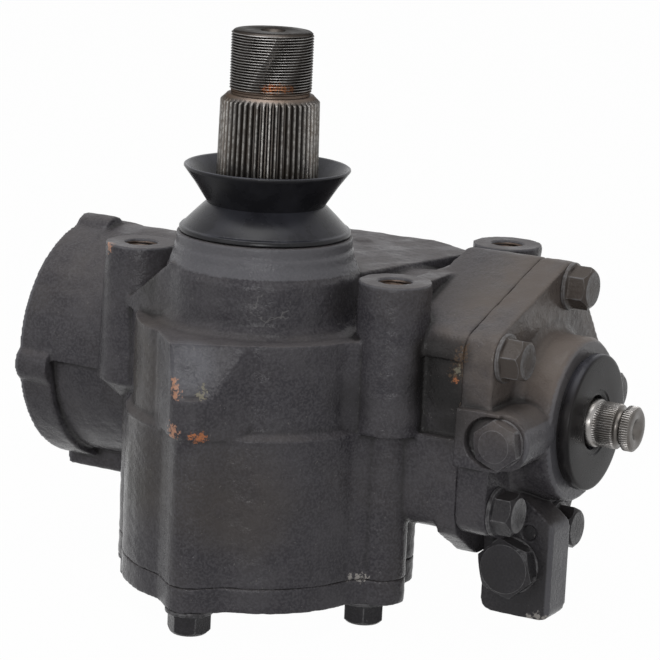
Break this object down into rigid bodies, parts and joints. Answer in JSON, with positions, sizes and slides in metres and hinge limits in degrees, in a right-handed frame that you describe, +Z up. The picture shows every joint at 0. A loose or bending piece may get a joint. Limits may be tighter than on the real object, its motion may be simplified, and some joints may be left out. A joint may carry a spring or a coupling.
{
  "type": "steering gearbox",
  "caption": "Recirculating-ball power steering gear: cast housing with a serrated output shaft, rack piston, ball screw, rotary valve and input shaft.",
  "frame": {"origin": "centre of the four mounting holes, on the mounting plane at the tops of the posts", "axes": "+X along the cylinder towards the input shaft, +Z up along the output shaft, +Y from the output shaft towards the cylinder"},
  "size_m": [0.36, 0.25, 0.3217],
  "materials": {
    "cast_paint": "painted, satin",
    "rubber": "satin",
    "bright_steel": "ground",
    "dark_steel": "painted",
    "steel": "machined"
  },
  "bodies": {
    "gear_housing": {"housing": "cast_paint", "cylinder_end_cover": "cast_paint", "end_cover_seal": "rubber", "end_cover_ring": "dark_steel", "side_cover": "cast_paint", "side_cover_seal": "rubber", "side_cover_bolts": "dark_steel", "sector_lower_bearing": "steel", "sector_adjuster_screw": "steel", "adjuster_lock_nut": "dark_steel", "sector_upper_bearing": "steel", "sector_shaft_seal": "rubber", "sector_seal_ring": "dark_steel", "worm_bearing": "steel", "bearing_adjuster": "dark_steel", "valve_housing": "cast_paint", "valve_housing_seal": "rubber", "valve_housing_bolts": "dark_steel", "input_bearing": "steel", "input_shaft_seal": "rubber", "seal_retaining_ring": "dark_steel", "input_dust_cover": "rubber", "port_plug": "dark_steel", "relief_plug": "dark_steel", "relief_spring": "steel", "ball_plug": "dark_steel"},
    "sector": {"sector_shaft": "steel", "adjuster_retainer": "steel", "dust_boot": "rubber"},
    "piston": {"rack_piston": "steel", "piston_ring": "dark_steel", "recirculating_balls": "bright_steel", "ball_return_guide": "steel", "guide_clamp": "dark_steel"},
    "worm_group": {"worm": "steel", "valve_sleeve": "steel", "sleeve_rings": "rubber", "worm_pin": "dark_steel", "torsion_bar": "steel"},
    "input": {"input_shaft": "bright_steel", "torsion_bar_pin": "dark_steel"},
    "poppet": {"relief_poppet": "steel"}
  },
  "joints": [
    {"name": "worm_spin", "type": "hinge", "parent": "gear_housing", "child": "worm_group", "pos_m": [0, 0, -0.078], "axis": [1, 0, 0], "range_deg": [-890, 890]},
    {"name": "sector_turn", "type": "hinge", "parent": "gear_housing", "child": "sector", "pos_m": [0, -0.072, 0], "axis": [0, 0, 1], "range_deg": [-45, 45]},
    {"name": "piston_slide", "type": "slide", "parent": "gear_housing", "child": "piston", "axis": [1, 0, 0], "range_m": [-0.03, 0.03]},
    {"name": "valve_twist", "type": "hinge", "parent": "worm_group", "child": "input", "pos_m": [0, 0, -0.078], "axis": [1, 0, 0], "range_deg": [-5, 5], "stiffness_Nm_per_rad": 115},
    {"name": "relief_lift", "type": "slide", "parent": "gear_housing", "child": "poppet", "axis": [0, -1, 0], "range_m": [0, 0.0015], "stiffness_N_per_m": 5000, "springref_m": -0.001, "deforming": ["relief_spring"]}
  ],
  "couplings": [
    {"joint": "sector_turn", "follows": "worm_spin", "ratio": 0.050259},
    {"joint": "piston_slide", "follows": "worm_spin", "m_per_rad": -0.0019099}
  ]
}
